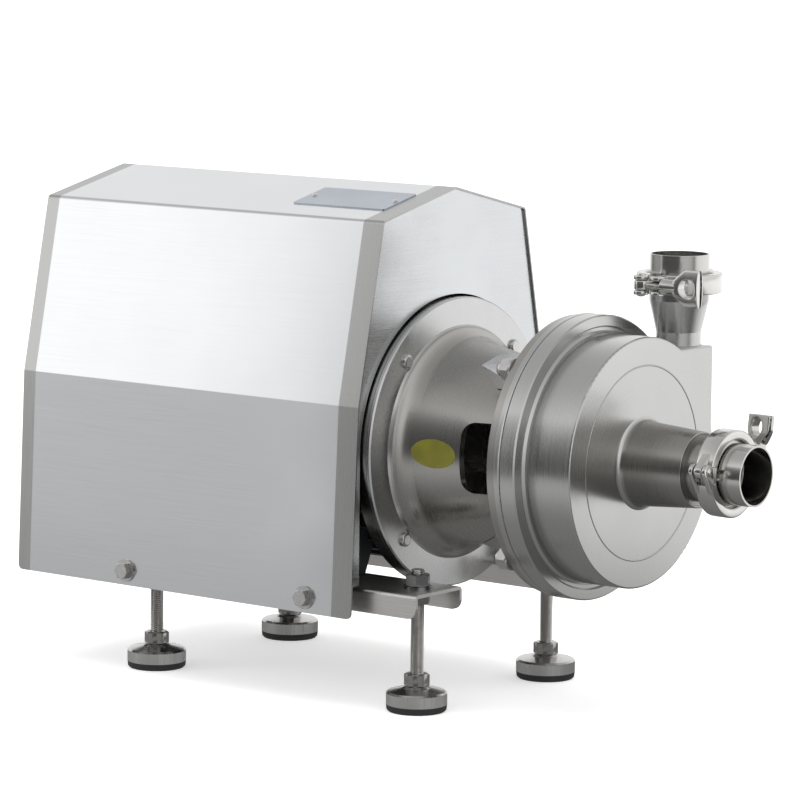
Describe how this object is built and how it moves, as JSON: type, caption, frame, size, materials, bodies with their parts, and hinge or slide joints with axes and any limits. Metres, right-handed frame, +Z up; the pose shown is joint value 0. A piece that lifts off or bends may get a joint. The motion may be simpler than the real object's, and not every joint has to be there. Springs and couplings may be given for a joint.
{
  "type": "vacuum pump",
  "caption": "Hygienic stainless centrifugal pump with a gabled sheet hood over its motor, rails on levelling feet, and clamped pipe ends.",
  "frame": {"origin": "on the floor under the middle of the pump's box", "axes": "+X along the shaft to the suction port, +Z up, -Y the side with the nameplate"},
  "size_m": [0.69, 0.2946, 0.4359],
  "materials": {
    "hood_steel": "brushed sheet, polished panels",
    "satin_steel": "bead-blasted satin",
    "polished_steel": "polished casting",
    "fastener_steel": "bright fasteners",
    "motor_paint": "satin black paint",
    "bearing_steel": "ground",
    "electrical_steel": "laminated",
    "winding": "varnished copper",
    "plate_grey": "etched plate",
    "rubber_black": "moulded",
    "gasket_white": "moulded",
    "seal_carbon": "lapped"
  },
  "bodies": {
    "pump": {"adapter": "satin_steel", "adapter_bolts": "fastener_steel", "back_plate": "satin_steel", "bearing_outer_rings": "bearing_steel", "casing": "satin_steel", "casing_gasket": "rubber_black", "casing_nuts": "fastener_steel", "casing_studs": "fastener_steel", "clamp_pins": "fastener_steel", "drive_end_shield": "motor_paint", "fan_cowl": "motor_paint", "fan_end_shield": "motor_paint", "hood_bolts": "fastener_steel", "hood_bosses": "satin_steel", "hood_cover": "hood_steel", "hood_front_panel": "hood_steel", "hood_rear_panel": "hood_steel", "inlet_clamp_bolt_half": "polished_steel", "inlet_clamp_fork_half": "polished_steel", "inlet_pipe_end": "polished_steel", "motor_foot_bolts": "fastener_steel", "motor_frame": "motor_paint", "nameplate": "plate_grey", "nameplate_rivets": "fastener_steel", "outlet_clamp_bolt_half": "polished_steel", "outlet_clamp_fork_half": "polished_steel", "outlet_pipe_end": "polished_steel", "port_gaskets": "gasket_white", "rail_far": "satin_steel", "rail_near": "satin_steel", "rail_nuts": "fastener_steel", "seal_gland": "satin_steel", "seal_seat": "seal_carbon", "stator_core": "electrical_steel", "stator_winding": "winding", "terminal_box": "motor_paint"},
    "rotor": {"motor_shaft": "satin_steel", "rotor_core": "electrical_steel", "bearing_inner_rings": "bearing_steel", "cooling_fan": "motor_paint", "pump_shaft": "satin_steel", "seal_head": "seal_carbon", "impeller": "satin_steel", "impeller_nut": "satin_steel"},
    "inlet_bolt": {"inlet_clamp_bolt": "polished_steel"},
    "inlet_wing": {"inlet_wing_nut": "polished_steel"},
    "outlet_bolt": {"outlet_clamp_bolt": "polished_steel"},
    "outlet_wing": {"outlet_wing_nut": "polished_steel"},
    "foot_front_near": {"foot_stud_front_near": "fastener_steel", "foot_cap_front_near": "fastener_steel", "foot_pad_front_near": "rubber_black"},
    "foot_front_far": {"foot_stud_front_far": "fastener_steel", "foot_cap_front_far": "fastener_steel", "foot_pad_front_far": "rubber_black"},
    "foot_rear_near": {"foot_stud_rear_near": "fastener_steel", "foot_cap_rear_near": "fastener_steel", "foot_pad_rear_near": "rubber_black"},
    "foot_rear_far": {"foot_stud_rear_far": "fastener_steel", "foot_cap_rear_far": "fastener_steel", "foot_pad_rear_far": "rubber_black"}
  },
  "joints": [
    {"name": "rotor_spin", "type": "hinge", "parent": "pump", "child": "rotor", "pos_m": [0, 0, 0.217], "axis": [1, 0, 0], "continuous": true},
    {"name": "foot_front_near_level", "type": "slide", "parent": "pump", "child": "foot_front_near", "axis": [0, 0, 1], "range_m": [-0.01, 0.015]},
    {"name": "foot_front_far_level", "type": "slide", "parent": "pump", "child": "foot_front_far", "axis": [0, 0, 1], "range_m": [-0.01, 0.015]},
    {"name": "foot_rear_near_level", "type": "slide", "parent": "pump", "child": "foot_rear_near", "axis": [0, 0, 1], "range_m": [-0.01, 0.015]},
    {"name": "foot_rear_far_level", "type": "slide", "parent": "pump", "child": "foot_rear_far", "axis": [0, 0, 1], "range_m": [-0.01, 0.015]},
    {"name": "inlet_bolt_swing", "type": "hinge", "parent": "pump", "child": "inlet_bolt", "pos_m": [0.3165, 0.04232, 0.20196], "axis": [-1, 0, 0], "range_deg": [0, 100]},
    {"name": "inlet_wing_turn", "type": "hinge", "parent": "inlet_bolt", "child": "inlet_wing", "pos_m": [0.3165, 0.04789, 0.24158], "axis": [0, 0.1392, 0.9903], "continuous": true},
    {"name": "outlet_bolt_swing", "type": "hinge", "parent": "pump", "child": "outlet_bolt", "pos_m": [0.201, 0.039, 0.361], "axis": [0, 0, -1], "range_deg": [0, 100]},
    {"name": "outlet_wing_turn", "type": "hinge", "parent": "outlet_bolt", "child": "outlet_wing", "pos_m": [0.241, 0.039, 0.361], "axis": [1, 0, 0], "continuous": true}
  ]
}
